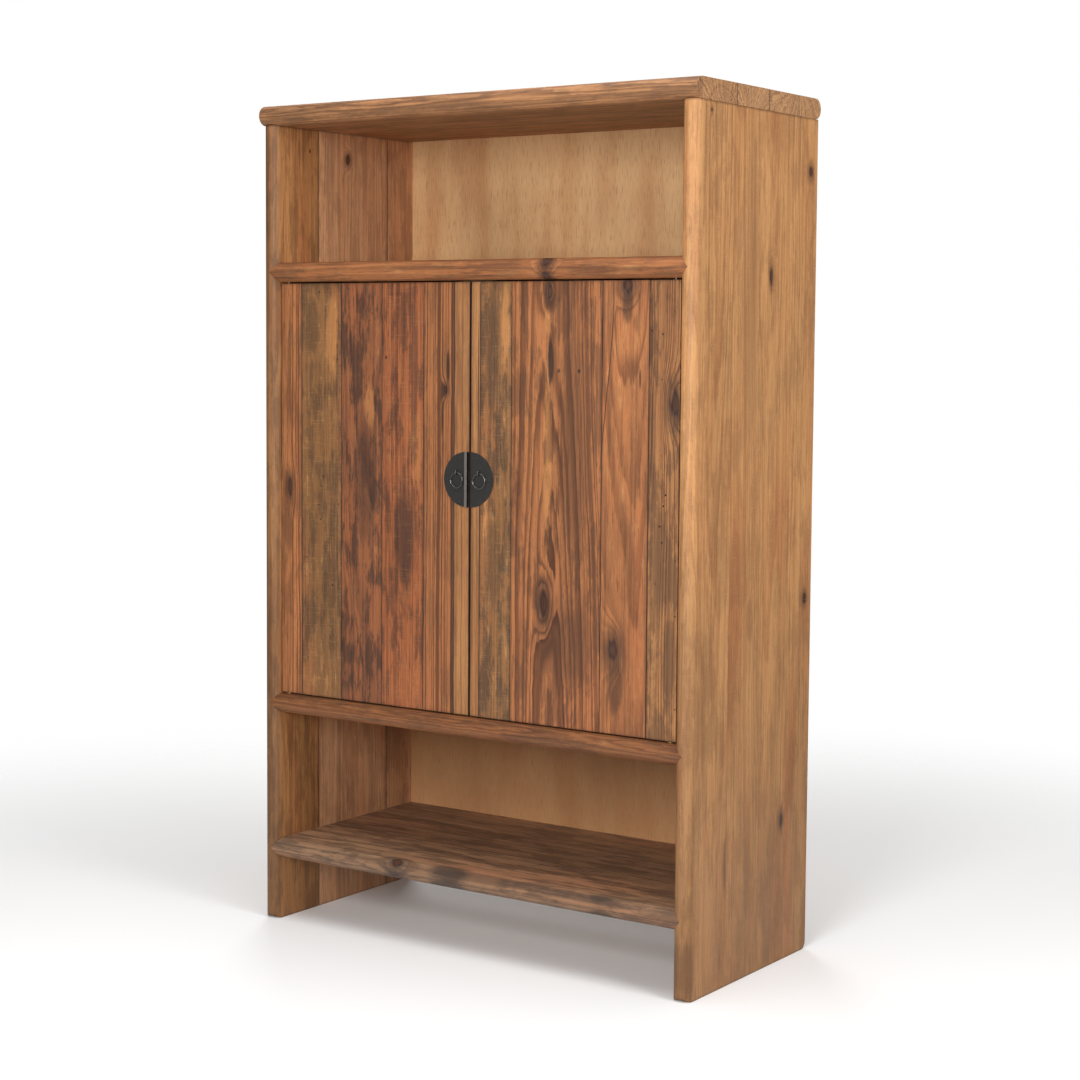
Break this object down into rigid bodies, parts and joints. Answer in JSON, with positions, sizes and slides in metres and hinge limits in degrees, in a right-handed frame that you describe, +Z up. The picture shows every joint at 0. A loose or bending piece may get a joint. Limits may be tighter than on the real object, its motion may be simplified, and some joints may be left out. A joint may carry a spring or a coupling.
{
  "type": "armoire",
  "caption": "Reclaimed pine armoire with an open top bay, a cupboard behind inset plank doors with a split round escutcheon and ring pulls, and an open lower shelf.",
  "frame": {"origin": "on the floor, under the middle of the case", "axes": "+Z up, +X to the right seen from the front, -Y is the front with the doors"},
  "size_m": [1.003, 0.4588, 1.63],
  "materials": {
    "pine_case": "oiled, brushed old pine",
    "pine_front": "oiled old pine, redder",
    "pine_inner": "plain pine",
    "ply_back": "stained plywood",
    "pine_door": "oiled reclaimed pine",
    "black_iron": "satin black",
    "steel": "zinc plated",
    "brass": "turned",
    "catch_plastic": "moulded brown"
  },
  "bodies": {
    "carcass": {"back_panel_screws": "steel", "catch_magnets": "steel", "catch_screw": "steel", "shelf_supports": "steel", "top_dowels": "pine_inner", "inner_shelf_front_board": "pine_inner", "inner_shelf_rear_board": "pine_inner", "back_panel": "ply_back", "pivot_bushes": "brass", "thrust_washers": "brass", "catch_housing": "catch_plastic", "left_side_front_board": "pine_case", "left_side_middle_board": "pine_case", "left_side_rear_board": "pine_case", "right_side_front_board": "pine_case", "right_side_middle_board": "pine_case", "right_side_rear_board": "pine_case", "top_front_board": "pine_case", "top_middle_board": "pine_case", "top_rear_board": "pine_case", "upper_shelf_front_board": "pine_front", "upper_shelf_rear_board": "pine_front", "cupboard_floor_front_board": "pine_front", "cupboard_floor_rear_board": "pine_front", "bottom_shelf_front_board": "pine_front", "bottom_shelf_rear_board": "pine_front"},
    "left_door": {"left_door_pivots": "steel", "left_batten_screws": "steel", "left_strike_plate": "steel", "left_strike_screw": "steel", "left_ring_staple": "black_iron", "left_escutcheon_pins": "black_iron", "left_escutcheon_plate": "black_iron", "left_door_lower_batten": "pine_inner", "left_door_upper_batten": "pine_inner", "left_door_board_1": "pine_door", "left_door_board_2": "pine_door", "left_door_board_3": "pine_door", "left_door_board_4": "pine_door", "left_door_board_5": "pine_door", "left_door_board_6": "pine_door", "cover_bar": "black_iron"},
    "right_door": {"right_door_pivots": "steel", "right_batten_screws": "steel", "right_strike_plate": "steel", "right_strike_screw": "steel", "right_ring_staple": "black_iron", "right_escutcheon_pins": "black_iron", "right_escutcheon_plate": "black_iron", "right_door_lower_batten": "pine_inner", "right_door_upper_batten": "pine_inner", "right_door_board_1": "pine_door", "right_door_board_2": "pine_door", "right_door_board_3": "pine_door", "right_door_board_4": "pine_door", "right_door_board_5": "pine_door"},
    "left_ring": {"left_ring_pull": "black_iron"},
    "right_ring": {"right_ring_pull": "black_iron"}
  },
  "joints": [
    {"name": "left_door_hinge", "type": "hinge", "parent": "carcass", "child": "left_door", "pos_m": [-0.4475, -0.2015, 0.461], "axis": [0, 0, -1], "range_deg": [0, 105]},
    {"name": "right_door_hinge", "type": "hinge", "parent": "carcass", "child": "right_door", "pos_m": [0.4475, -0.2015, 0.461], "axis": [0, 0, 1], "range_deg": [0, 105]},
    {"name": "left_ring_swing", "type": "hinge", "parent": "left_door", "child": "left_ring", "pos_m": [-0.02365, -0.212, 0.923], "axis": [-1, 0, 0], "range_deg": [0, 170]},
    {"name": "right_ring_swing", "type": "hinge", "parent": "right_door", "child": "right_ring", "pos_m": [0.02815, -0.212, 0.923], "axis": [-1, 0, 0], "range_deg": [0, 170]}
  ]
}
